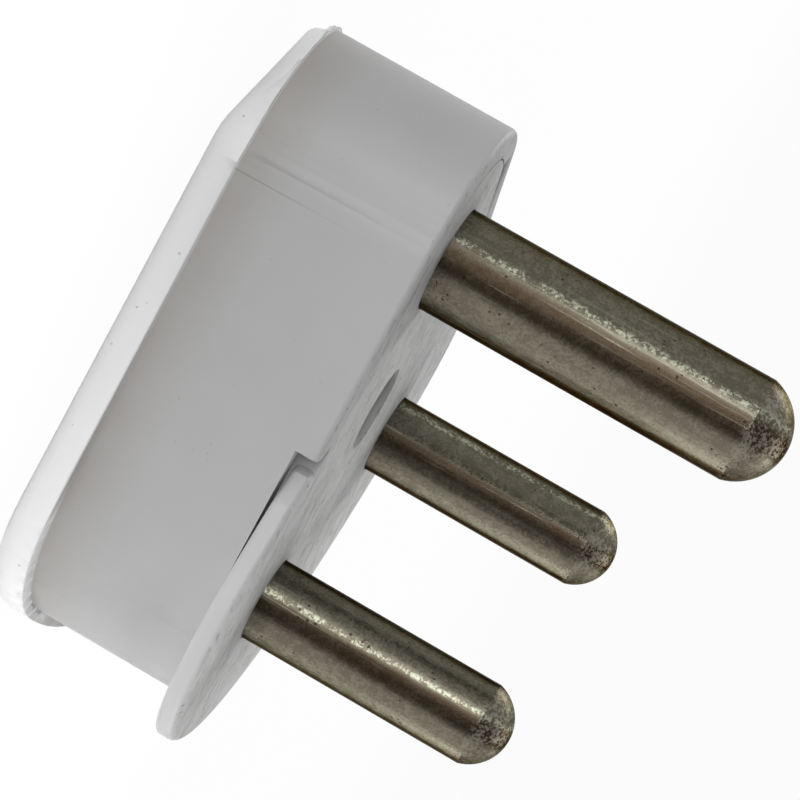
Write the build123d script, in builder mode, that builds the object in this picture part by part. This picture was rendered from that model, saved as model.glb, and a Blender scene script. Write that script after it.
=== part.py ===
from build123d import *
import os
from math import asin, atan2, cos, degrees, hypot, radians, sin, sqrt

# A rewireable three-pin plug top, standing on its flat back with its pins up.
# The origin is on the flat of the back, under the screw that holds the two halves together.
# X runs from the live pin to the neutral pin, and Y towards the earth pin.

# Pin layout, in millimetres
LINE_SPACING = 25.4
LINE_Y = -12.2
EARTH_DISTANCE = 28.6
LINE_PIN_DIAMETER = 7.05
EARTH_PIN_DIAMETER = 8.7
LINE_PIN_LENGTH = 22.4
EARTH_PIN_LENGTH = 29.8
LINE_NOSE_HEIGHT = 2.7
EARTH_NOSE_HEIGHT = 3.4

# Body outline: one arc round the earth pin, one at each corner, and a bowed cord end
BODY_DEPTH = 18.6
EARTH_END_RADIUS = 11.2
CORNER_RADIUS = 8.6
CORNER_X = 16.6
CORNER_FROM_LINE = 2.3
CORD_END_RADIUS = 31.5
WALL = 2.4
BACK_WALL = 2.4

# Grip lip along the back edge, and the two bends of the back
LIP_OVERHANG = 1.4
EARTH_OVERHANG = 0.3
LIP_HEIGHT = 2.6
BACK_EDGE_RADIUS = 1.2
EARTH_BEND_LENGTH = 6.2
EARTH_BEND_RADIUS = 10.0
CORD_BEND_LENGTH = 17.4
CORD_BEND_RADIUS = 45.0
BEND_MARGIN = 0.5
FACE_EDGE_RADIUS = 0.5

# Base plate and its flange at the cord end
BASE_THICKNESS = 3.0
BASE_CLEARANCE = 0.12
FLANGE_THICKNESS = 1.7
FLANGE_REACH = 3.5
FLANGE_EDGE_RADIUS = 0.5
FLANGE_START_Y = 3.4
FLANGE_END_SLOPE = 1.3
NOTCH_START_Y = 7.0
NOTCH_CLEARANCE = 0.25

# Pins inside the body
LINE_HEAD_DIAMETER = 9.4
EARTH_HEAD_DIAMETER = 11.0
HEAD_LENGTH = 9.5
PIN_HEAD_CHAMFER = 0.4
PIN_CLEARANCE = 0.05
NECK_DEPTH = 0.25
WIRE_HOLE_DIAMETER = 3.6
WIRE_HOLE_FROM_END = 5.4
COLLAR_WALL = 1.2
COLLAR_HEIGHT = 5.0
COLLAR_CLEARANCE = 0.15
WIRE_SLOT_WIDTH = 4.6

# Terminal screws, driven into the back end of each pin
TERMINAL_SCREW_DIAMETER = 4.0
TERMINAL_SCREW_LENGTH = 4.0
TERMINAL_HEAD_DIAMETER = 6.6
TERMINAL_HEAD_HEIGHT = 2.2
TERMINAL_HEAD_GAP = 0.3
SLOT_WIDTH = 1.0
SLOT_DEPTH = 1.0
HEAD_CHAMFER = 0.35
STOP_RING_WALL = 0.9
STOP_RING_CLEARANCE = 0.4

# Screw that holds the cover to the base, sunk in the pin face
FIXING_SCREW_DIAMETER = 4.0
FIXING_SCREW_LENGTH = 9.4
FIXING_HEAD_DIAMETER = 6.8
FIXING_HEAD_HEIGHT = 2.2
FIXING_RECESS_DIAMETER = 7.4
FIXING_RECESS_DEPTH = 3.0
FIXING_HOLE_DIAMETER = 4.4
PILLAR_DIAMETER = 10.0
PILLAR_JOINT_DEPTH = 6.2
PILLAR_CLEARANCE = 0.1
INSERT_DIAMETER = 6.4
INSERT_LENGTH = 7.0
INSERT_GROOVE_DEPTH = 0.4
INSERT_GROOVE_WIDTH = 1.4

# Cord entry and the clamp that grips the cord
CORD_HOLE_DIAMETER = 8.4
CORD_AXIS_HEIGHT = 10.9
TONGUE_CLEARANCE = 0.1
CLAMP_FROM_END = 7.0
CLAMP_SPACING = 15.2
CLAMP_WIDTH = 4.6
CLAMP_THICKNESS = 1.8
CLAMP_OVERLAP = 0.2
CLAMP_CORNER_RADIUS = 1.5
CLAMP_HOLE_DIAMETER = 3.4
POST_DIAMETER = 5.2
POST_END_HEIGHT = 8.2
CLAMP_SCREW_DIAMETER = 3.0
CLAMP_SCREW_LENGTH = 6.0
CLAMP_HEAD_DIAMETER = 5.0
CLAMP_HEAD_HEIGHT = 1.5
RIDGE_HEIGHT = 0.5
RIDGE_WIDTH = 1.2
RIDGE_LENGTH = 7.6
SADDLE_HEIGHT = 1.2
SADDLE_SPACING = 3.0

# Insulating walls between the terminals
BARRIER_THICKNESS = 1.5
BARRIER_CLEARANCE = 0.4
BARRIER_FROM_CLAMP = 1.5
SIDE_BARRIER_REACH = 12.0
SIDE_BARRIER_OFFSET = 1.2

# Ribs inside the cover that the base plate rests on
RIB_WIDTH = 1.2
RIB_REACH = 1.5
RIB_PLACES = (0.12, 0.5, 0.88)
CORD_RIB_ANGLE = 27.0

FACE_Z = BODY_DEPTH
PLATE_BACK_Z = FACE_Z - BASE_THICKNESS
FLANGE_BACK_Z = FACE_Z - FLANGE_THICKNESS
NOTCH_Z = FLANGE_BACK_Z - NOTCH_CLEARANCE
HEAD_END_Z = PLATE_BACK_Z - HEAD_LENGTH
PILLAR_JOINT_Z = FACE_Z - PILLAR_JOINT_DEPTH
FIXING_SEAT_Z = FACE_Z - FIXING_RECESS_DEPTH
EARTH_Y = LINE_Y + EARTH_DISTANCE
CORNER_Y = LINE_Y + CORNER_FROM_LINE
EARTH_CENTRE = Vector(0, EARTH_Y)
CORNER_CENTRE = Vector(CORNER_X, CORNER_Y)
END_CENTRE = Vector(0, CORNER_Y + sqrt((CORD_END_RADIUS - CORNER_RADIUS) ** 2 - CORNER_X**2))
EARTH_TIP_Y = EARTH_Y + EARTH_END_RADIUS
CORD_END_Y = END_CENTRE.Y - CORD_END_RADIUS
EARTH_BEND_START = EARTH_TIP_Y - EARTH_BEND_LENGTH
CORD_BEND_START = CORD_END_Y + CORD_BEND_LENGTH
CLAMP_Y = CORD_END_Y + CLAMP_FROM_END
BARRIER_START_Y = CLAMP_Y + CLAMP_WIDTH / 2 + BARRIER_FROM_CLAMP
HALF_WIDTH = CORNER_X + CORNER_RADIUS
BEYOND = HALF_WIDTH + FLANGE_REACH + LIP_OVERHANG
CORD_PLANE = Plane.XZ.offset(-CORD_END_Y - WALL - RIB_REACH)

# Shank diameter, head diameter, length outside and nose height of the two sizes of pin
LINE_SIZES = (LINE_PIN_DIAMETER, LINE_HEAD_DIAMETER, LINE_PIN_LENGTH, LINE_NOSE_HEIGHT)
EARTH_SIZES = (EARTH_PIN_DIAMETER, EARTH_HEAD_DIAMETER, EARTH_PIN_LENGTH, EARTH_NOSE_HEIGHT)
# Each pin's name, its place, the direction its wire comes from in degrees, and its sizes
PINS = (
    ("live", (-LINE_SPACING / 2, LINE_Y), 0, LINE_SIZES),
    ("neutral", (LINE_SPACING / 2, LINE_Y), 180, LINE_SIZES),
    ("earth", (0, EARTH_Y), -90, EARTH_SIZES),
)
FIXING_PLACE = (0, 0)
CLAMP_PLACES = ((-CLAMP_SPACING / 2, CLAMP_Y), (CLAMP_SPACING / 2, CLAMP_Y))


def on_circle(centre, radius, angle):
    """Point at an angle in degrees on a circle."""
    return centre + Vector(radius * cos(radians(angle)), radius * sin(radians(angle)))


def mirrored(point):
    return Vector(-point.X, point.Y)


def direction(start, end):
    """Direction of a line in degrees."""
    return degrees(atan2(end.Y - start.Y, end.X - start.X))


def flank_normal(earth_radius, corner_radius):
    """Outward direction of the straight flank that touches the earth arc and the corner arc."""
    span = hypot(CORNER_X, CORNER_Y - EARTH_Y)
    lean = degrees(asin((earth_radius - corner_radius) / span))
    return direction(EARTH_CENTRE, CORNER_CENTRE) + 90 - lean


def outline(growth, earth_growth):
    """Draws the body's outline, grown by one amount round the cord end and another at the earth end."""
    earth_radius = EARTH_END_RADIUS + earth_growth
    corner_radius = CORNER_RADIUS + growth
    end_radius = CORD_END_RADIUS + growth
    normal = flank_normal(earth_radius, corner_radius)
    turn = direction(END_CENTRE, CORNER_CENTRE)
    flank_top = on_circle(EARTH_CENTRE, earth_radius, normal)
    flank_foot = on_circle(CORNER_CENTRE, corner_radius, normal)
    corner_middle = on_circle(CORNER_CENTRE, corner_radius, (normal + turn) / 2)
    end_start = on_circle(END_CENTRE, end_radius, turn)
    with BuildLine() as edge:
        ThreePointArc(mirrored(flank_top), on_circle(EARTH_CENTRE, earth_radius, 90), flank_top)
        Line(flank_top, flank_foot)
        ThreePointArc(flank_foot, corner_middle, end_start)
        ThreePointArc(end_start, on_circle(END_CENTRE, end_radius, -90), mirrored(end_start))
        ThreePointArc(mirrored(end_start), mirrored(corner_middle), mirrored(flank_foot))
        Line(mirrored(flank_foot), mirrored(flank_top))
    make_face(edge.edges())


def flange_outline():
    """Draws the flange: it leaves the flanks at its two ends and swells round the cord end."""
    corner_radius = CORNER_RADIUS + FLANGE_REACH
    end_radius = CORD_END_RADIUS + FLANGE_REACH
    normal = flank_normal(EARTH_END_RADIUS, CORNER_RADIUS)
    flank_point = on_circle(CORNER_CENTRE, CORNER_RADIUS, normal)
    rise = FLANGE_START_Y - flank_point.Y
    start = flank_point + Vector(-rise * sin(radians(normal)) / cos(radians(normal)), rise)
    away = hypot(start.X - CORNER_X, start.Y - CORNER_Y)
    touch = direction(CORNER_CENTRE, start) - degrees(asin(sqrt(1 - (corner_radius / away) ** 2)))
    turn = direction(END_CENTRE, CORNER_CENTRE)
    swell = on_circle(CORNER_CENTRE, corner_radius, touch)
    corner_middle = on_circle(CORNER_CENTRE, corner_radius, (touch + turn) / 2)
    end_start = on_circle(END_CENTRE, end_radius, turn)
    inner = start + Vector(-WALL - BASE_CLEARANCE, FLANGE_END_SLOPE)
    with BuildLine() as edge:
        Polyline(mirrored(start), mirrored(inner), inner, start)
        Line(start, swell)
        ThreePointArc(swell, corner_middle, end_start)
        ThreePointArc(end_start, on_circle(END_CENTRE, end_radius, -90), mirrored(end_start))
        ThreePointArc(mirrored(end_start), mirrored(corner_middle), mirrored(swell))
        Line(mirrored(swell), mirrored(start))
    make_face(edge.edges())


def on_bend(radius, lift, reach):
    """Height of a bend of the back at a distance from where it starts."""
    return radius - sqrt((radius - lift) ** 2 - reach**2)


def side_view(lift, top):
    """Draws the side view of the space above the back, lifted off it by one amount, up to a height."""
    earth_reach = EARTH_TIP_Y + BEND_MARGIN - EARTH_BEND_START
    cord_reach = CORD_BEND_START - CORD_END_Y + LIP_OVERHANG + BEND_MARGIN
    earth_y = EARTH_BEND_START + earth_reach
    cord_y = CORD_BEND_START - cord_reach
    earth_start = (EARTH_BEND_START, lift)
    earth_middle = (EARTH_BEND_START + earth_reach / 2, on_bend(EARTH_BEND_RADIUS, lift, earth_reach / 2))
    earth_end = (earth_y, on_bend(EARTH_BEND_RADIUS, lift, earth_reach))
    cord_start = (CORD_BEND_START, lift)
    cord_middle = (CORD_BEND_START - cord_reach / 2, on_bend(CORD_BEND_RADIUS, lift, cord_reach / 2))
    cord_end = (cord_y, on_bend(CORD_BEND_RADIUS, lift, cord_reach))
    with BuildLine() as edge:
        Line(cord_start, earth_start)
        ThreePointArc(earth_start, earth_middle, earth_end)
        Polyline(earth_end, (earth_y, top), (cord_y, top), cord_end)
        ThreePointArc(cord_end, cord_middle, cord_start)
    make_face(edge.edges())


CORD_FLOOR_Z = on_bend(CORD_BEND_RADIUS, BACK_WALL, CORD_BEND_START - CORD_END_Y - WALL)
BARRIER_END_Z = on_bend(CORD_BEND_RADIUS, BACK_WALL, CORD_BEND_START - BARRIER_START_Y) + BARRIER_CLEARANCE

# Space inside the cover, which follows the bends of the back
with BuildPart() as inner_space:
    with BuildSketch(Plane.XY):
        outline(-WALL, -WALL)
    extrude(amount=FACE_Z + FLANGE_THICKNESS)
    with BuildSketch(Plane.YZ):
        side_view(BACK_WALL, FACE_Z + FLANGE_THICKNESS)
    extrude(amount=BEYOND, both=True, mode=Mode.INTERSECT)

# Band that the grip lip is cut from: a curved sheet of the lip's height along the back
with BuildPart() as above_lip:
    with BuildSketch(Plane.YZ):
        side_view(LIP_HEIGHT, FACE_Z)
    extrude(amount=BEYOND, both=True)

# Cover: a hollow moulding with a lip round its back, open at the pin face
with BuildPart() as cover:
    with BuildSketch(Plane.XY):
        outline(LIP_OVERHANG, EARTH_OVERHANG)
    extrude(amount=FACE_Z)
    add(above_lip.part, mode=Mode.SUBTRACT)
    with BuildSketch(Plane.XY):
        outline(0, 0)
    extrude(amount=FACE_Z)
    with BuildSketch(Plane.YZ):
        side_view(0, FACE_Z)
    extrude(amount=BEYOND, both=True, mode=Mode.INTERSECT)
    back_edges = cover.faces().filter_by(lambda face: face.normal_at().Z < -0.3).edges()
    fillet(back_edges - back_edges.filter_by(Axis.X), BACK_EDGE_RADIUS)
    fillet(cover.edges().group_by(Axis.Z)[-1], FACE_EDGE_RADIUS)
    add(inner_space.part, mode=Mode.SUBTRACT)
    # Notch in the rim that the flange comes out of
    with BuildSketch(Plane.XY.offset(NOTCH_Z)):
        with Locations((0, NOTCH_START_Y)):
            Rectangle(2 * BEYOND, 2 * BEYOND, align=(Align.CENTER, Align.MAX))
    extrude(amount=FACE_Z - NOTCH_Z, mode=Mode.SUBTRACT)
    # Opening for the cord, with a half-round floor
    with BuildSketch(CORD_PLANE):
        with Locations((0, CORD_AXIS_HEIGHT)):
            Circle(CORD_HOLE_DIAMETER / 2)
            Rectangle(CORD_HOLE_DIAMETER, FACE_Z, align=(Align.CENTER, Align.MIN))
    extrude(amount=BEYOND, mode=Mode.SUBTRACT)
    # Pillar for the fixing screw, with the hole that its insert is pressed into
    with BuildSketch(Plane.XY.offset(BACK_WALL / 2)):
        with Locations(FIXING_PLACE):
            Circle(PILLAR_DIAMETER / 2)
    extrude(amount=PILLAR_JOINT_Z - PILLAR_CLEARANCE - BACK_WALL / 2)
    with BuildSketch(Plane.XY.offset(PILLAR_JOINT_Z - PILLAR_CLEARANCE)):
        with Locations(FIXING_PLACE):
            Circle(INSERT_DIAMETER / 2)
    extrude(amount=-INSERT_LENGTH, mode=Mode.SUBTRACT)
    # Rings behind the pins, which stop them from being pushed in
    for name, place, wire_angle, sizes in PINS:
        ring_radius = TERMINAL_HEAD_DIAMETER / 2 + STOP_RING_CLEARANCE
        with BuildSketch(Plane.XY.offset(BACK_WALL / 2)):
            with Locations(place):
                Circle(ring_radius + STOP_RING_WALL)
                Circle(ring_radius, mode=Mode.SUBTRACT)
        extrude(amount=HEAD_END_Z - BACK_WALL / 2)
    # Ribs on the walls, level with the back of the base plate
    with BuildSketch(Plane.XY.offset(BACK_WALL)):
        for side in (-1, 1):
            normal = flank_normal(EARTH_END_RADIUS, CORNER_RADIUS)
            top = on_circle(EARTH_CENTRE, EARTH_END_RADIUS - WALL, normal)
            foot = on_circle(CORNER_CENTRE, CORNER_RADIUS - WALL, normal)
            for part_way in RIB_PLACES:
                place = top + (foot - top) * part_way
                with Locations(Location((side * place.X, place.Y), side * normal)):
                    Rectangle(2 * RIB_REACH, RIB_WIDTH)
    extrude(amount=PLATE_BACK_Z - BACK_WALL)
    with BuildSketch(Plane.XY.offset(CORD_FLOOR_Z)):
        for angle in (-90 - CORD_RIB_ANGLE, -90 + CORD_RIB_ANGLE):
            place = on_circle(END_CENTRE, CORD_END_RADIUS - WALL, angle)
            with Locations(Location((place.X, place.Y), angle)):
                Rectangle(2 * RIB_REACH, RIB_WIDTH)
    extrude(amount=PLATE_BACK_Z - CORD_FLOOR_Z)

# Flange of the base, with softened edges
with BuildPart() as flange:
    with BuildSketch(Plane.XY.offset(FLANGE_BACK_Z)):
        flange_outline()
    extrude(amount=FLANGE_THICKNESS)
    fillet(flange.edges().filter_by(Axis.Z, reverse=True), FLANGE_EDGE_RADIUS)

# Base: the plate that carries the pins, with its flange, collars, posts and insulating walls
with BuildPart() as base:
    with BuildSketch(CORD_PLANE):
        with Locations((0, CORD_AXIS_HEIGHT)):
            Rectangle(
                CORD_HOLE_DIAMETER - 2 * TONGUE_CLEARANCE,
                FLANGE_BACK_Z - CORD_AXIS_HEIGHT,
                align=(Align.CENTER, Align.MIN),
            )
            Circle(CORD_HOLE_DIAMETER / 2, mode=Mode.SUBTRACT)
    extrude(amount=BEYOND)
    with BuildSketch(Plane.XY):
        outline(0, 0)
    extrude(amount=FACE_Z, mode=Mode.INTERSECT)
    add(flange.part)
    with BuildSketch(Plane.XY.offset(PLATE_BACK_Z)):
        outline(-WALL - BASE_CLEARANCE, -WALL - BASE_CLEARANCE)
    extrude(amount=BASE_THICKNESS)
    for name, place, wire_angle, (pin_diameter, head_diameter, length, nose) in PINS:
        inner_radius = head_diameter / 2 + COLLAR_CLEARANCE
        with BuildSketch(Plane.XY.offset(PLATE_BACK_Z)):
            with Locations(Location(place, wire_angle)):
                Circle(inner_radius + COLLAR_WALL)
                Circle(inner_radius, mode=Mode.SUBTRACT)
                Rectangle(
                    head_diameter,
                    WIRE_SLOT_WIDTH,
                    align=(Align.MIN, Align.CENTER),
                    mode=Mode.SUBTRACT,
                )
        extrude(amount=-COLLAR_HEIGHT)
    with BuildSketch(Plane.XY.offset(PLATE_BACK_Z)):
        with Locations(FIXING_PLACE):
            Circle(PILLAR_DIAMETER / 2)
    extrude(amount=PILLAR_JOINT_Z - PLATE_BACK_Z)
    with BuildSketch(Plane.XY.offset(PLATE_BACK_Z)):
        with Locations(*CLAMP_PLACES):
            Circle(POST_DIAMETER / 2)
    extrude(amount=POST_END_HEIGHT - PLATE_BACK_Z)
    with BuildSketch(Plane.XY.offset(PLATE_BACK_Z)):
        with Locations((0, CLAMP_Y - SADDLE_SPACING / 2), (0, CLAMP_Y + SADDLE_SPACING / 2)):
            Rectangle(RIDGE_LENGTH, RIDGE_WIDTH)
    extrude(amount=-SADDLE_HEIGHT)
    with BuildSketch(Plane.XY.offset(PLATE_BACK_Z)):
        with Locations((0, BARRIER_START_Y)):
            Rectangle(
                BARRIER_THICKNESS,
                -PILLAR_DIAMETER / 2 - BARRIER_START_Y,
                align=(Align.CENTER, Align.MIN),
            )
    extrude(amount=BARRIER_END_Z - PLATE_BACK_Z)
    with BuildSketch(Plane.XY.offset(PLATE_BACK_Z)):
        with Locations((0, SIDE_BARRIER_OFFSET)):
            Rectangle(2 * SIDE_BARRIER_REACH, BARRIER_THICKNESS)
        with Locations(FIXING_PLACE):
            Circle(PILLAR_DIAMETER / 2 - BARRIER_CLEARANCE, mode=Mode.SUBTRACT)
    extrude(amount=PILLAR_JOINT_Z - PLATE_BACK_Z)
    # Holes for the pins, the fixing screw and the clamp screws
    for name, place, wire_angle, (pin_diameter, head_diameter, length, nose) in PINS:
        with Locations((*place, FACE_Z)):
            Hole(pin_diameter / 2 + PIN_CLEARANCE, depth=BASE_THICKNESS)
    with Locations((*FIXING_PLACE, FACE_Z)):
        CounterBoreHole(
            FIXING_HOLE_DIAMETER / 2,
            FIXING_RECESS_DIAMETER / 2,
            FIXING_RECESS_DEPTH,
            depth=PILLAR_JOINT_DEPTH,
        )
    with BuildSketch(Plane.XY.offset(POST_END_HEIGHT)):
        with Locations(*CLAMP_PLACES):
            Circle(CLAMP_SCREW_DIAMETER / 2)
    extrude(amount=CLAMP_SCREW_LENGTH - CLAMP_THICKNESS, mode=Mode.SUBTRACT)


def turned_pin(place, wire_angle, pin_diameter, head_diameter, length, nose):
    """A pin turned from one bar: domed nose, shank, relieved neck, and a head bored for wire and screw."""
    head_radius = head_diameter / 2
    pin_radius = pin_diameter / 2
    tip_z = FACE_Z + length
    nose_z = tip_z - nose
    dome_radius = (pin_radius**2 + nose**2) / (2 * nose)
    wire_way = (cos(radians(wire_angle)), sin(radians(wire_angle)), 0)
    wire_z = HEAD_END_Z + WIRE_HOLE_FROM_END
    with BuildPart() as pin:
        with BuildSketch(Plane((*place, 0), x_dir=(1, 0, 0), z_dir=(0, -1, 0))):
            with BuildLine():
                Polyline(
                    (0, tip_z),
                    (0, HEAD_END_Z),
                    (head_radius - PIN_HEAD_CHAMFER, HEAD_END_Z),
                    (head_radius, HEAD_END_Z + PIN_HEAD_CHAMFER),
                    (head_radius, PLATE_BACK_Z),
                    (pin_radius - NECK_DEPTH, PLATE_BACK_Z),
                    (pin_radius - NECK_DEPTH, FACE_Z),
                    (pin_radius, FACE_Z),
                    (pin_radius, nose_z),
                )
                RadiusArc((pin_radius, nose_z), (0, tip_z), -dome_radius)
            make_face()
        revolve(axis=Axis((*place, 0), (0, 0, 1)))
        with BuildSketch(Plane((*place, wire_z), x_dir=(0, 0, 1), z_dir=wire_way)):
            Circle(WIRE_HOLE_DIAMETER / 2)
        extrude(amount=head_diameter, both=True, mode=Mode.SUBTRACT)
        with BuildSketch(Plane((*place, HEAD_END_Z))):
            Circle(TERMINAL_SCREW_DIAMETER / 2)
        extrude(amount=WIRE_HOLE_FROM_END, mode=Mode.SUBTRACT)
    return pin


def slotted_screw(place, under_head_z, towards, diameter, length, head_diameter, head_height):
    """A cheese-head screw with a straight slot. Its shank points up for 1 and down for -1."""
    plane = Plane((*place, under_head_z), x_dir=(1, 0, 0), z_dir=(0, 0, towards))
    with BuildPart() as screw:
        with BuildSketch(plane):
            Circle(diameter / 2)
        extrude(amount=length)
        with BuildSketch(plane):
            Circle(head_diameter / 2)
        extrude(amount=-head_height)
        top = screw.faces().filter_by(Axis.Z).sort_by(Axis.Z, reverse=towards < 0)[0]
        chamfer(top.edges(), HEAD_CHAMFER)
        with BuildSketch(plane.offset(-head_height)):
            Rectangle(2 * head_diameter, SLOT_WIDTH)
        extrude(amount=SLOT_DEPTH, mode=Mode.SUBTRACT)
    return screw


# Bar that clamps the cord against the base, with a ridge that bites
with BuildPart() as cord_clamp:
    with BuildSketch(Plane.XY.offset(POST_END_HEIGHT)):
        with Locations((0, CLAMP_Y)):
            RectangleRounded(
                CLAMP_SPACING + POST_DIAMETER + 2 * CLAMP_OVERLAP,
                CLAMP_WIDTH,
                CLAMP_CORNER_RADIUS,
            )
        with Locations(*CLAMP_PLACES):
            Circle(CLAMP_HOLE_DIAMETER / 2, mode=Mode.SUBTRACT)
    extrude(amount=-CLAMP_THICKNESS)
    with BuildSketch(Plane.XY.offset(POST_END_HEIGHT)):
        with Locations((0, CLAMP_Y)):
            Rectangle(RIDGE_LENGTH, RIDGE_WIDTH)
    extrude(amount=RIDGE_HEIGHT)

# Brass insert in the cover's pillar, which the fixing screw bites into
with BuildPart() as threaded_insert:
    with BuildSketch(Plane.XY.offset(PILLAR_JOINT_Z - PILLAR_CLEARANCE)):
        with Locations(FIXING_PLACE):
            Circle(INSERT_DIAMETER / 2)
            Circle(FIXING_SCREW_DIAMETER / 2, mode=Mode.SUBTRACT)
    extrude(amount=-INSERT_LENGTH)
    groove_z = PILLAR_JOINT_Z - PILLAR_CLEARANCE - (INSERT_LENGTH + INSERT_GROOVE_WIDTH) / 2
    with BuildSketch(Plane.XY.offset(groove_z)):
        with Locations(FIXING_PLACE):
            Circle(INSERT_DIAMETER / 2)
            Circle(INSERT_DIAMETER / 2 - INSERT_GROOVE_DEPTH, mode=Mode.SUBTRACT)
    extrude(amount=INSERT_GROOVE_WIDTH, mode=Mode.SUBTRACT)

os.makedirs("parts", exist_ok=True)
cover.part.label = "cover"
export_step(cover.part, "parts/cover.step")
base.part.label = "base"
export_step(base.part, "parts/base.step")
cord_clamp.part.label = "cord_clamp"
export_step(cord_clamp.part, "parts/cord_clamp.step")
threaded_insert.part.label = "threaded_insert"
export_step(threaded_insert.part, "parts/threaded_insert.step")

# Screw that pulls the cover and the base together, with its head in the recess of the pin face
fixing_screw = slotted_screw(
    FIXING_PLACE,
    FIXING_SEAT_Z,
    -1,
    FIXING_SCREW_DIAMETER,
    FIXING_SCREW_LENGTH,
    FIXING_HEAD_DIAMETER,
    FIXING_HEAD_HEIGHT,
)
fixing_screw.part.label = "fixing_screw"
export_step(fixing_screw.part, "parts/fixing_screw.step")

# The three pins, each with the terminal screw in the back end of its head
for name, place, wire_angle, sizes in PINS:
    pin = turned_pin(place, wire_angle, *sizes)
    pin.part.label = name + "_pin"
    export_step(pin.part, "parts/" + name + "_pin.step")
    terminal_screw = slotted_screw(
        place,
        HEAD_END_Z - TERMINAL_HEAD_GAP,
        1,
        TERMINAL_SCREW_DIAMETER,
        TERMINAL_SCREW_LENGTH + TERMINAL_HEAD_GAP,
        TERMINAL_HEAD_DIAMETER,
        TERMINAL_HEAD_HEIGHT,
    )
    terminal_screw.part.label = name + "_terminal_screw"
    export_step(terminal_screw.part, "parts/" + name + "_terminal_screw.step")

# The two screws of the cord clamp
for side, place in zip(("left", "right"), CLAMP_PLACES):
    clamp_screw = slotted_screw(
        place,
        POST_END_HEIGHT - CLAMP_THICKNESS,
        1,
        CLAMP_SCREW_DIAMETER,
        CLAMP_SCREW_LENGTH,
        CLAMP_HEAD_DIAMETER,
        CLAMP_HEAD_HEIGHT,
    )
    clamp_screw.part.label = "clamp_screw_" + side
    export_step(clamp_screw.part, "parts/clamp_screw_" + side + ".step")
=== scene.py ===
from math import radians, sqrt

import bmesh
import bpy
from mathutils import Matrix, Vector


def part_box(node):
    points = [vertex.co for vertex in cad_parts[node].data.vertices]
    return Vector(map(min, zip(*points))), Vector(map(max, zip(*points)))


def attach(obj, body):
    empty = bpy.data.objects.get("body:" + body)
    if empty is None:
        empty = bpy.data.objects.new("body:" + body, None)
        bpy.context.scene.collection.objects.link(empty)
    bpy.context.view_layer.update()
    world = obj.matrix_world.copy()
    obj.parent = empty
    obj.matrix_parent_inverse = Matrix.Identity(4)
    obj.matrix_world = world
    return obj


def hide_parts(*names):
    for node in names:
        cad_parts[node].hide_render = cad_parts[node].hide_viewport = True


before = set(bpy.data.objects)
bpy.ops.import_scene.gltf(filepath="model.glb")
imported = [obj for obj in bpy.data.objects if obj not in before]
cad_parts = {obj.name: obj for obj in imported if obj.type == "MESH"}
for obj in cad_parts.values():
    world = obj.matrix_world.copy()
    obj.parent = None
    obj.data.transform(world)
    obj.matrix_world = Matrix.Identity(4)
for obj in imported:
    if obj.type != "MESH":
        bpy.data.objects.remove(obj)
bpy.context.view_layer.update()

# A rewireable three-pin plug top, seen past its earth end with the pins pointing to the right.
# The part stands on its back on the floor. Lengths are in metres, unless a comment says millimetres.

PICTURE = 800
SENSOR = 36.0
FOCAL_PIXELS = 3025.1
CAMERA_PLACE = (-0.18692, 0.15286, 0.04198)
CAMERA_RIGHT = (0.3736, 0.3372, 0.8641)
CAMERA_DOWN = (-0.5096, -0.7037, 0.4950)

PLUG_MIDDLE = Vector((0.0, 0.0, 0.02))
FLOOR_HALF = 3.0
FLOOR_WHITENESS = 0.96
WORLD_WHITENESS = 0.965
AMBIENT = 0.15

# The back and the top of its grip lip, in millimetres, seen from the side. A bend has the place
# along Y where it starts, and its radius. The first three are those of the solid.
SOLID_EARTH_BEND = (21.4, 10.0)
SOLID_CORD_BEND = (-8.2, 45.0)
SOLID_LIP = 2.6
EARTH_BEND = (22.8, 6.4)
CORD_BEND = (-4.0, 60.0)
LIP = 2.7
LIP_RISE = (0.0, 90.0)
STEEPEST = 0.98
UNMOVED = 9.5
EARTH_CUTS = [22.2 + 0.45 * step for step in range(13)]
CORD_CUTS = [-5.0 - 1.5 * step for step in range(15)]

# The outline's arcs and how far the lip draws in at either end, in millimetres. The fades say
# where a change starts and over what length it grows.
CORNER_CENTRE = (16.6, -9.9)
CORNER_RADIUS = 8.6
END_CENTRE_Y = 5.88
END_RADIUS = 31.5
TIP_PULL = 1.3
TIP_FADE = (20.0, 8.5)
TIP_HEIGHT_FADE = (2.6, 1.6)
CORD_PULL = 0.5
CORD_FADE = 8.0
ABOVE_LIP = 0.2

MERGE_DISTANCE = 0.000002
CUT_DISTANCE = 0.0000001
SHARP_ANGLE = 24.0
LARGE_FACE_WEIGHT = 90

# Heights between which the pin face's wear sets in, and how the lip's top climbs with the square
# of the way towards the cord
FACE_FADE = (0.0183, 0.01855)
LIP_CLIMB = 5.6

# Each pin's axis, radius, height of its nose, and where the painted highlight lies across it, from
# -1 to 1
PINS = {
    "live_pin": (-0.0127, -0.0122, 0.003525, 0.0027, -0.28),
    "neutral_pin": (0.0127, -0.0122, 0.003525, 0.0027, -0.80),
    "earth_pin": (0.0, 0.0164, 0.00435, 0.0034, -0.33),
}
# The direction across the pins along which their painted reflection bands and painted highlight are
# laid
PAINTED_BANDS_ACROSS = (0.629, 0.777)


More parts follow.
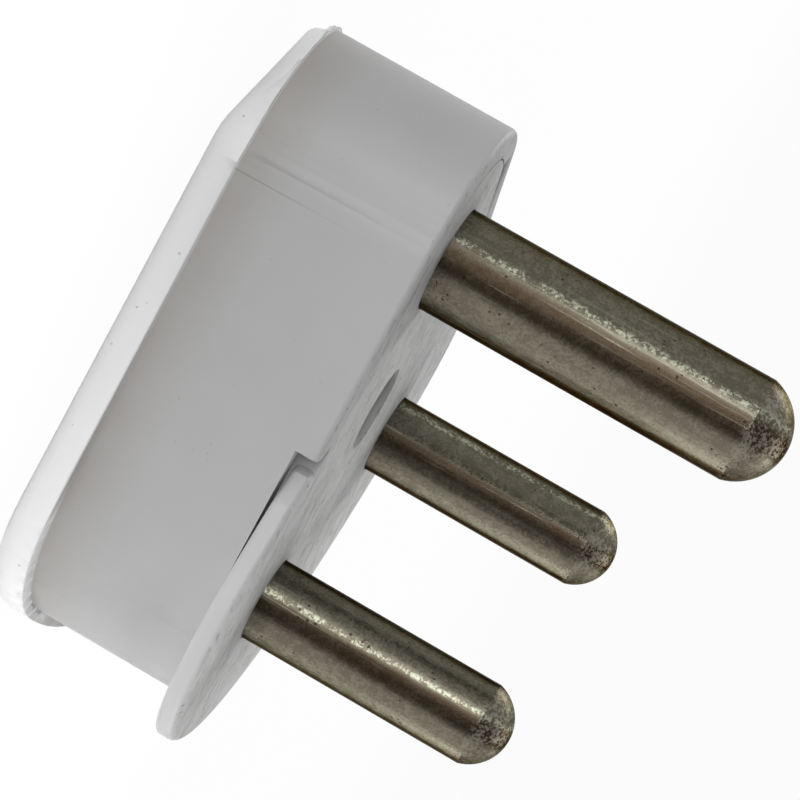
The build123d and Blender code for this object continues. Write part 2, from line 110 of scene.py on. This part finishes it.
class Link:
    """A socket of a shader, so that sums and products of sockets can be written out."""

    def __init__(self, tree, socket):
        self.tree = tree
        self.socket = socket

    def maths(self, operation, *others):
        node = self.tree.nodes.new("ShaderNodeMath")
        node.operation = operation
        for place, value in zip(node.inputs, (self, *others)):
            feed(self.tree, place, value)
        return Link(self.tree, node.outputs[0])

    def __add__(self, other):
        return self.maths("ADD", other)

    __radd__ = __add__

    def __sub__(self, other):
        return self.maths("SUBTRACT", other)

    def __rsub__(self, other):
        return (self * -1.0) + other

    def __mul__(self, other):
        return self.maths("MULTIPLY", other)

    __rmul__ = __mul__

    def __abs__(self):
        return self.maths("ABSOLUTE")

    def greatest(self, other):
        return self.maths("MAXIMUM", other)

    def within(self, low, high):
        """0 below the low value, 1 above the high one, and smooth between."""
        node = self.tree.nodes.new("ShaderNodeMapRange")
        node.interpolation_type = "SMOOTHSTEP"
        for name, value in (("Value", self), ("From Min", low), ("From Max", high)):
            feed(self.tree, node.inputs[name], value)
        return Link(self.tree, node.outputs[0])

    def blend(self, first, second):
        """The first colour where this is 0, and the second where it is 1."""
        node = self.tree.nodes.new("ShaderNodeMix")
        node.data_type = "RGBA"
        feed(self.tree, node.inputs[0], self)
        feed(self.tree, node.inputs[6], first)
        feed(self.tree, node.inputs[7], second)
        return Link(self.tree, node.outputs[2])


def feed(tree, place, value):
    if isinstance(value, Link):
        tree.links.new(value.socket, place)
    elif place.type == "RGBA" and len(value) == 3:
        place.default_value = (*value, 1.0)
    else:
        place.default_value = value


class Finish:
    """One material: its surface shader, and the nodes that vary it."""

    def __init__(self, name):
        self.material = bpy.data.materials.new(name)
        self.material.use_nodes = True
        self.tree = self.material.node_tree
        self.surface = self.tree.nodes["Principled BSDF"]

    def node(self, kind, settings=None, output=0, **values):
        """Any node: its type, its settings, and the values or links of its sockets by name."""
        node = self.tree.nodes.new(kind)
        for name, value in (settings or {}).items():
            setattr(node, name, value)
        for name, value in values.items():
            feed(self.tree, node.inputs[name.replace("_", " ")], value)
        return Link(self.tree, node.outputs[output])

    def set(self, **values):
        for name, value in values.items():
            feed(self.tree, self.surface.inputs[name.replace("_", " ")], value)

    def place(self):
        return self.node("ShaderNodeTexCoord", output=3)

    def axes(self, vector):
        """The three parts of a vector, along X, Y and Z."""
        parts = self.node("ShaderNodeSeparateXYZ", Vector=vector).socket.node
        return [Link(self.tree, place) for place in parts.outputs]

    def moved(self, vector, offset=(0, 0, 0), turn=(0, 0, 0), scale=(1, 1, 1)):
        return self.node(
            "ShaderNodeMapping", Vector=vector, Location=offset, Rotation=turn, Scale=scale
        )

    def noise(self, vector, scale, detail=3.0, roughness=0.55, distortion=0.0):
        return self.node(
            "ShaderNodeTexNoise",
            Vector=vector,
            Scale=scale,
            Detail=detail,
            Roughness=roughness,
            Distortion=distortion,
        )

    def cells(self, vector, scale):
        return self.node("ShaderNodeTexVoronoi", Vector=vector, Scale=scale)

    def bump(self, height, distance):
        return self.node("ShaderNodeBump", Height=height, Distance=distance)


def specks(finish, vector, scale, size, threshold, seed):
    """Small separate marks: 1 on a mark and 0 between. Only some of the cells have one."""
    shifted = finish.moved(vector, offset=(seed, seed * 0.7, seed * 1.3))
    spots = 1.0 - finish.cells(shifted, scale).within(size * 0.5, size)
    chosen = finish.noise(shifted, scale * 0.35, detail=1.0).within(threshold, threshold + 0.03)
    return spots * chosen


def scratches(finish, vector, turn, scale, threshold, seed):
    """Fine lines one way: noise stretched thin along one direction."""
    turned = finish.moved(
        vector, offset=(seed, seed, seed), turn=(0, 0, turn), scale=(1.0, 0.12, 1.0)
    )
    return finish.noise(turned, scale, detail=2.0).within(threshold, threshold + 0.05)


def white_plastic(name, face_wear, whiteness=1.0):
    """Moulded white plastic: faint clouds and specks, painted shade above the lip, a painted lighter
    lip, a scuffed pin face.
    """
    finish = Finish(name)
    place = finish.place()
    _, along, height = finish.axes(place)
    face = height.within(*FACE_FADE) * face_wear
    cloud = finish.noise(place, 70.0, detail=4.0).within(0.3, 0.7)
    fog = finish.noise(place, 240.0, detail=5.0, roughness=0.65).within(0.35, 0.7)
    dirt = specks(finish, place, 1500.0, 0.2, 0.63, 3.1)
    one_way = scratches(finish, place, 0.75, 1900.0, 0.62, 1.7)
    other_way = scratches(finish, place, -0.5, 1600.0, 0.63, 5.2)
    scuff = one_way.greatest(other_way)
    smudge = finish.noise(place, 330.0, detail=6.0, roughness=0.7, distortion=0.8)
    smudge = smudge.within(0.42, 0.64)
    grit = specks(finish, place, 1300.0, 0.3, 0.52, 7.7)

    # Height above the top of the grip lip, which climbs towards the cord end
    climb = (along * -1.0).greatest(0.0)
    above_lip = height - climb * climb * LIP_CLIMB - LIP * 0.001
    # Painted shade: a warm darker band on the wall just above the lip, where the crease lies in
    # shade
    painted_crease_shade = (1.0 - abs(above_lip).within(0.0, 0.0055)) * (0.65 + fog * 0.35)
    # Painted light: the lip is painted whiter than the walls, and whiter at the earth end than at
    # the cord end
    below_lip_top = 1.0 - above_lip.within(-0.0001, 0.0002)
    painted_lip_light = along.within(-0.026, -0.012).blend((0.83, 0.83, 0.83), (0.94, 0.94, 0.94))

    clean = cloud.blend([0.435 * whiteness] * 3, [0.46 * whiteness] * 3)
    # The lip takes its painted light colour
    with_painted_lip_light = below_lip_top.blend(clean, painted_lip_light)
    # Lays the painted shade above the lip over the plastic
    with_painted_crease_shade = (painted_crease_shade * (1.0 - below_lip_top) * 0.7).blend(with_painted_lip_light, (0.385, 0.355, 0.33))
    marked = (dirt * 0.45).blend(with_painted_crease_shade, (0.34, 0.32, 0.30))
    greyed = (face * smudge * 0.45).blend(marked, (0.37, 0.36, 0.35))
    worn = (face * scuff * 0.5).blend(greyed, (0.25, 0.24, 0.23))
    gritty = (face * grit * 0.6).blend(worn, (0.20, 0.185, 0.17))

    skin = finish.noise(place, 2600.0, detail=2.0)
    waves = finish.noise(place, 95.0, detail=2.0)
    dents = skin * 0.08 + waves * 0.9 - face * (scuff * 0.9 + grit * 0.6)
    finish.set(
        Base_Color=gritty,
        Roughness=0.42 + cloud * 0.06 + face * (0.26 + smudge * 0.12),
        Normal=finish.bump(dents, 0.00005),
        IOR=1.45,
    )
    return finish.material


def pin_plate(name, axis_x, axis_y, radius, nose_z, painted_highlight_place, seed):
    """Plating on brass, with painted reflections in lengthwise bands, a speckled painted highlight
    line, and a worn, pitted tip.
    """
    finish = Finish(name)
    centred = finish.moved(finish.place(), offset=(-axis_x, -axis_y, 0.0))
    x, y, z = finish.axes(centred)
    lengthwise = finish.moved(centred, offset=(seed, seed, 0.0), scale=(1.0, 1.0, 0.03))
    grain = finish.noise(lengthwise, 2400.0, detail=4.0)
    drift = finish.noise(lengthwise, 420.0, detail=3.0)
    patches = finish.moved(centred, offset=(seed, 0.0, 0.0))
    mottle = finish.noise(patches, 900.0, detail=5.0, roughness=0.65)
    dots = finish.moved(centred, offset=(0.0, seed, 0.0))
    fine = finish.noise(dots, 4200.0, detail=4.0, roughness=0.7)

    # Place across the pin, from -1 to 1, and the painted reflection bands and painted highlight that
    # lie there
    across = x * (PAINTED_BANDS_ACROSS[0] / radius) + y * (PAINTED_BANDS_ACROSS[1] / radius)
    across = across * -1.0 + (drift - 0.5) * 0.2
    # Painted dark reflection: a dark band down the middle of the pin and dark edges
    painted_dark_middle = 1.0 - abs(across - 0.03).within(0.12, 0.36)
    painted_dark_bands = painted_dark_middle.greatest(abs(across).within(0.84, 0.97))
    # Painted highlight: a bright line down the pin at the given place
    painted_highlight = 1.0 - abs(across - painted_highlight_place).within(0.02, 0.09)
    # Painted reflection: a tan band down one side of the pin
    painted_tan_reflection = 1.0 - abs(across - 0.54).within(0.10, 0.30)
    tip = z.within(nose_z - 0.0006, nose_z + 0.0004)
    speckle = (fine * 0.6 + mottle * 0.4).within(0.47, 0.56)
    pits = specks(finish, centred, 1700.0, 0.22, 0.57, seed)

    plate = speckle.blend((0.085, 0.078, 0.058), (0.125, 0.116, 0.09))
    # Lays the painted tan reflection, the painted dark bands and the painted highlight over the
    # plating
    with_painted_tan = (painted_tan_reflection * (0.45 + speckle * 0.4)).blend(plate, (0.20, 0.175, 0.135))
    with_painted_dark = (painted_dark_bands * (0.96 - speckle * 0.1)).blend(with_painted_tan, (0.024, 0.016, 0.010))
    lit = (painted_highlight * speckle * 0.85).blend(with_painted_dark, (0.30, 0.31, 0.235))
    worn_tip = (tip * speckle * 0.5).blend(lit, (0.24, 0.225, 0.185))
    streaked = (grain.within(0.56, 0.70) * 0.3).blend(worn_tip, (0.20, 0.195, 0.15))
    pitted = (pits * 0.75).blend(streaked, (0.02, 0.016, 0.012))

    lumps = fine * 0.35 + grain * 0.5 + mottle * 0.5 + tip * mottle * 0.8 - pits
    finish.set(
        Base_Color=pitted,
        Metallic=1.0,
        Specular_Tint=(0.40, 0.38, 0.34),
        Roughness=0.23 + fine * 0.12 + speckle * 0.06 + tip * 0.06,
        Normal=finish.bump(lumps, 0.00003),
    )
    return finish.material


def plain_metal(name, colour, dull, roughness, seed):
    """Small turned parts: fine turning lines with some dull patches."""
    finish = Finish(name)
    place = finish.moved(finish.place(), offset=(seed, seed, seed))
    patches = finish.noise(place, 500.0, detail=4.0)
    lines = finish.noise(finish.moved(place, scale=(0.1, 0.1, 1.0)), 3500.0, detail=2.0)
    finish.set(
        Base_Color=patches.within(0.4, 0.7).blend(colour, dull),
        Metallic=1.0,
        Roughness=roughness + patches * 0.15,
        Normal=finish.bump(lines, 0.00002),
    )
    return finish.material


def clamp_fibre():
    """Moulded bar of the cord clamp: matt, with a fine grain."""
    finish = Finish("clamp_fibre")
    place = finish.place()
    cloud = finish.noise(place, 300.0, detail=4.0)
    finish.set(
        Base_Color=cloud.within(0.35, 0.7).blend((0.76, 0.755, 0.74), (0.84, 0.84, 0.83)),
        Roughness=0.5 + cloud * 0.15,
        Normal=finish.bump(finish.noise(place, 3000.0), 0.00003),
    )
    return finish.material


def give(material, *nodes):
    for node in nodes:
        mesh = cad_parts[node].data
        if not mesh.materials:
            mesh.materials.append(material)
        for slot in range(len(mesh.materials)):
            mesh.materials[slot] = material


def bend(reach, radius):
    """How far a bend of this radius has risen, in millimetres, this far past its start."""
    return radius - sqrt(radius * radius - min(max(reach, 0.0), STEEPEST * radius) ** 2)


def solid_levels(y):
    """Heights of the back and of the lip's top in the solid, where the lip follows the bends."""
    if y > SOLID_EARTH_BEND[0]:
        reach, radius = y - SOLID_EARTH_BEND[0], SOLID_EARTH_BEND[1]
    else:
        reach, radius = max(SOLID_CORD_BEND[0] - y, 0.0), SOLID_CORD_BEND[1]
    back = radius - sqrt(radius**2 - reach**2)
    return back, radius - sqrt((radius - SOLID_LIP) ** 2 - reach**2)


def real_levels(y):
    """The same two heights on the real plug, where the lip's top is flat at the earth end."""
    back = bend(y - EARTH_BEND[0], EARTH_BEND[1]) + bend(CORD_BEND[0] - y, CORD_BEND[1])
    return back, LIP + bend(LIP_RISE[0] - y, LIP_RISE[1])


def smooth_step(value):
    value = min(max(value, 0.0), 1.0)
    return value * value * (3.0 - 2.0 * value)


def faded(value, fade):
    return smooth_step((value - fade[0]) / fade[1])


def drawn_in(x, y, z):
    """Where a point goes, in millimetres, so that the lip overhangs less towards both ends."""
    if y > TIP_FADE[0]:
        return x, y - TIP_PULL * faded(y, TIP_FADE) * (1.0 - faded(z, TIP_HEIGHT_FADE))
    corner_x, corner_y = CORNER_CENTRE
    if y > corner_y or z > solid_levels(y)[1] + ABOVE_LIP:
        return x, y
    side = max(min(x, corner_x), -corner_x)
    away = sqrt((x - side) ** 2 + (y - corner_y) ** 2)
    if side == x:
        beyond = END_CENTRE_Y - sqrt(END_RADIUS**2 - x * x) - y
    else:
        beyond = away - CORNER_RADIUS
    pull = CORD_PULL * smooth_step(beyond) * smooth_step((corner_y - y) / CORD_FADE)
    away = max(away, 0.1)
    return x - (x - side) / away * pull, y - (y - corner_y) / away * pull


def reshaped(point):
    """Where a vertex of the solid's cover lies on the real one."""
    x, y, z = (value * 1000.0 for value in point)
    back, lip_top = solid_levels(y)
    new_back, new_lip_top = real_levels(y)
    new_x, new_y = drawn_in(x, y, z)
    if z < lip_top:
        z = new_back + (z - back) / (lip_top - back) * (new_lip_top - new_back)
    elif z < UNMOVED:
        z = new_lip_top + (z - lip_top) / (UNMOVED - lip_top) * (UNMOVED - new_lip_top)
    return Vector((new_x, new_y, z)) / 1000.0


def shaped_cover():
    """A copy of the cover's mesh, reshaped so that the lip fades away at the earth end."""
    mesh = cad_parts["cover"].data.copy()
    form = bmesh.new()
    form.from_mesh(mesh)
    bmesh.ops.remove_doubles(form, verts=form.verts, dist=MERGE_DISTANCE)
    for y in EARTH_CUTS + CORD_CUTS:
        bmesh.ops.bisect_plane(
            form,
            geom=form.verts[:] + form.edges[:] + form.faces[:],
            dist=CUT_DISTANCE,
            plane_co=(0.0, y * 0.001, 0.0),
            plane_no=(0.0, 1.0, 0.0),
        )
    for vertex in form.verts:
        vertex.co = reshaped(vertex.co)
    for face in form.faces:
        face.smooth = True
    form.to_mesh(mesh)
    form.free()
    mesh.set_sharp_from_angle(angle=radians(SHARP_ANGLE))
    mesh.materials.clear()
    mesh.materials.append(white_plastic("white_cover", 0.75))

    cover = bpy.data.objects.new("cover_moulding", mesh)
    bpy.context.scene.collection.objects.link(cover)
    even = cover.modifiers.new("even_shading", "WEIGHTED_NORMAL")
    even.mode = "FACE_AREA"
    even.weight = LARGE_FACE_WEIGHT
    even.keep_sharp = True
    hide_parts("cover")
    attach(cover, "root")


def finish_pieces():
    give(white_plastic("white_base", 1.0, 1.14), "base")
    for number, (node, (x, y, radius, nose, painted_highlight_place)) in enumerate(PINS.items()):
        _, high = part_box(node)
        seed = 0.31 + 0.17 * number
        give(pin_plate(node + "_plate", x, y, radius, high[2] - nose, painted_highlight_place, seed), node)
    give(
        plain_metal("screw_steel", (0.56, 0.56, 0.55), (0.40, 0.39, 0.36), 0.28, 0.2),
        "fixing_screw",
        "live_terminal_screw",
        "neutral_terminal_screw",
        "earth_terminal_screw",
        "clamp_screw_left",
        "clamp_screw_right",
    )
    brass = plain_metal("insert_brass", (0.72, 0.55, 0.28), (0.55, 0.41, 0.22), 0.3, 0.6)
    give(brass, "threaded_insert")
    give(clamp_fibre(), "cord_clamp")


def seen_white(tree, shader, white, lift):
    """Mixes a surface with a white one, for what the camera, metal and glass see of it."""
    path = tree.nodes.new("ShaderNodeLightPath")
    camera = Link(tree, path.outputs["Is Camera Ray"])
    glossy = Link(tree, path.outputs["Is Glossy Ray"])
    through = Link(tree, path.outputs["Is Transmission Ray"])
    mix = tree.nodes.new("ShaderNodeMixShader")
    feed(tree, mix.inputs[0], camera.greatest(glossy).greatest(through) * lift)
    tree.links.new(shader, mix.inputs[1])
    tree.links.new(white, mix.inputs[2])
    return mix.outputs[0]


def plain_white(tree, kind, strength):
    white = tree.nodes.new(kind)
    white.inputs["Color"].default_value = (1.0, 1.0, 1.0, 1.0)
    white.inputs["Strength"].default_value = strength
    return white.outputs[0]


def lay_floor():
    mesh = bpy.data.meshes.new("floor")
    h = FLOOR_HALF
    mesh.from_pydata([(-h, -h, 0), (h, -h, 0), (h, h, 0), (-h, h, 0)], [], [(0, 1, 2, 3)])
    floor = bpy.data.objects.new("floor", mesh)
    bpy.context.scene.collection.objects.link(floor)
    finish = Finish("floor_card")
    paper = finish.noise(finish.place(), 40.0)
    finish.set(Base_Color=paper.blend((0.86, 0.86, 0.86), (0.90, 0.90, 0.90)), Roughness=0.9)
    white = plain_white(finish.tree, "ShaderNodeEmission", 1.0)
    shown = seen_white(finish.tree, finish.surface.outputs[0], white, FLOOR_WHITENESS)
    finish.tree.links.new(shown, finish.tree.nodes["Material Output"].inputs["Surface"])
    mesh.materials.append(finish.material)


def light_room():
    """Even light from all sides. The world is seen as white as the far floor, with no edge."""
    world = bpy.data.worlds.new("studio")
    bpy.context.scene.world = world
    world.use_nodes = True
    tree = world.node_tree
    ambient = tree.nodes["Background"]
    ambient.inputs["Color"].default_value = (1.0, 1.0, 1.0, 1.0)
    ambient.inputs["Strength"].default_value = AMBIENT
    white = plain_white(tree, "ShaderNodeBackground", WORLD_WHITENESS)
    shown = seen_white(tree, ambient.outputs[0], white, 1.0)
    tree.links.new(shown, tree.nodes["World Output"].inputs["Surface"])


def lamp(name, direction, distance, size, energy, target=PLUG_MIDDLE, spread=180.0):
    """A soft lamp in a direction from the plug or another target, turned towards it."""
    data = bpy.data.lights.new(name, "AREA")
    data.shape = "RECTANGLE"
    data.size, data.size_y = size
    data.energy = energy
    data.spread = radians(spread)
    lit = bpy.data.objects.new(name, data)
    bpy.context.scene.collection.objects.link(lit)
    away = Vector(direction).normalized()
    lit.location = target + away * distance
    lit.rotation_mode = "QUATERNION"
    lit.rotation_quaternion = (-away).to_track_quat("-Z", "Y")


def set_lamps():
    """Six soft lamps round the plug, and two low ones whose light the floor throws back up."""
    lamp("overhead", (0.25, -0.35, 1.0), 1.0, (0.6, 0.6), 3.4)
    lamp("right", (0.9, 0.1, 0.5), 0.9, (0.4, 0.4), 2.6)
    lamp("side", (-0.75, -0.62, 0.22), 0.8, (0.35, 0.3), 0.26)
    lamp("left", (-1.0, -0.1, 0.3), 0.8, (0.3, 0.3), 0.07)
    lamp("cord_side", (-0.35, -1.0, 0.08), 0.7, (0.4, 0.1), 0.92)
    lamp("earth_side", (-0.6, 1.0, 0.05), 0.5, (0.3, 0.08), 0.84)
    up = (0.0, 0.0, 1.0)
    by_flank = Vector((-0.075, 0.0, 0.0))
    by_cord = Vector((-0.03, -0.11, 0.0))
    lamp("floor_front", up, 0.05, (0.07, 0.16), 0.046, by_flank, 90.0)
    lamp("floor_side", up, 0.07, (0.20, 0.12), 0.082, by_cord, 110.0)


def set_camera():
    data = bpy.data.cameras.new("camera")
    data.sensor_width = SENSOR
    data.lens = SENSOR * FOCAL_PIXELS / PICTURE
    data.clip_start = 0.01
    data.clip_end = 20.0
    camera = bpy.data.objects.new("camera", data)
    bpy.context.scene.collection.objects.link(camera)
    right = Vector(CAMERA_RIGHT).normalized()
    up = -Vector(CAMERA_DOWN).normalized()
    back = right.cross(up).normalized()
    up = back.cross(right)
    turned = Matrix((right, up, back)).transposed().to_4x4()
    camera.matrix_world = Matrix.Translation(CAMERA_PLACE) @ turned
    bpy.context.scene.camera = camera


shaped_cover()
finish_pieces()
lay_floor()
light_room()
set_lamps()
set_camera()
bpy.context.scene.view_settings.view_transform = "Standard"
